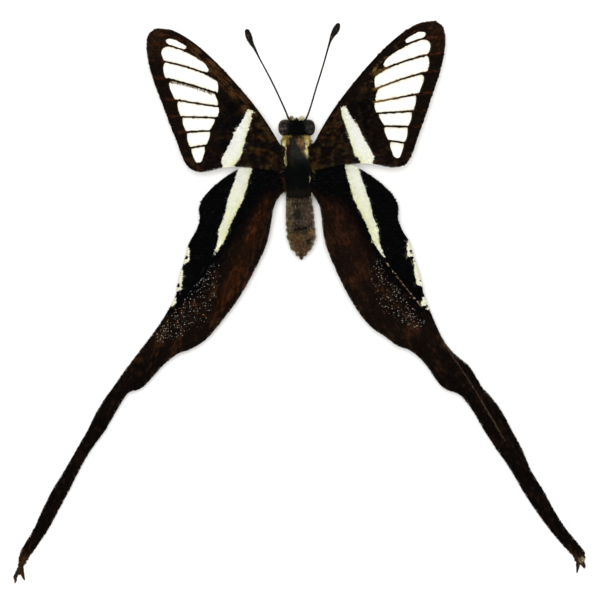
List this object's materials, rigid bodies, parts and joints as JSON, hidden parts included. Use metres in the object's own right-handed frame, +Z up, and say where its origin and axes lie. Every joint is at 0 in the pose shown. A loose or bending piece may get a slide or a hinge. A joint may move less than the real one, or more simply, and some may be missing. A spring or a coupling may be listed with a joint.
{
  "type": "green dragontail butterfly",
  "caption": "Dried, spread specimen of a long-tailed swallowtail butterfly with clear forewing panes and pale green bands, standing on its feet.",
  "frame": {"origin": "on the floor under the middle of the whole outline, tail tips and feelers included", "axes": "+Z up; the head faces -Y; the animal's left side is +X"},
  "size_m": [0.0747, 0.0733, 0.0091],
  "materials": {
    "wing_scales": "black-brown powdery scales with a pale green band",
    "wing_membrane": "clear, slightly glossy wing membrane",
    "body_fur": "grey-black hair with cream stripes",
    "abdomen_scales": "grey-brown flat scales",
    "eye": "dark brown, faceted, semi-gloss",
    "horn": "black-brown horny skin, semi-gloss"
  },
  "bodies": {
    "root": {"head": "body_fur", "thorax": "body_fur", "abdomen": "abdomen_scales", "eye_left": "eye", "eye_right": "eye", "antenna_left": "horn", "antenna_right": "horn", "palp_left": "body_fur", "palp_right": "body_fur", "proboscis": "horn", "forewing_left": "wing_scales", "forewing_right": "wing_scales", "hindwing_left": "wing_scales", "hindwing_right": "wing_scales", "tail_left": "wing_scales", "tail_right": "wing_scales", "leg_fore_left": "horn", "leg_fore_right": "horn", "leg_mid_left": "horn", "leg_mid_right": "horn", "leg_hind_left": "horn", "leg_hind_right": "horn"}
  },
  "joints": []
}
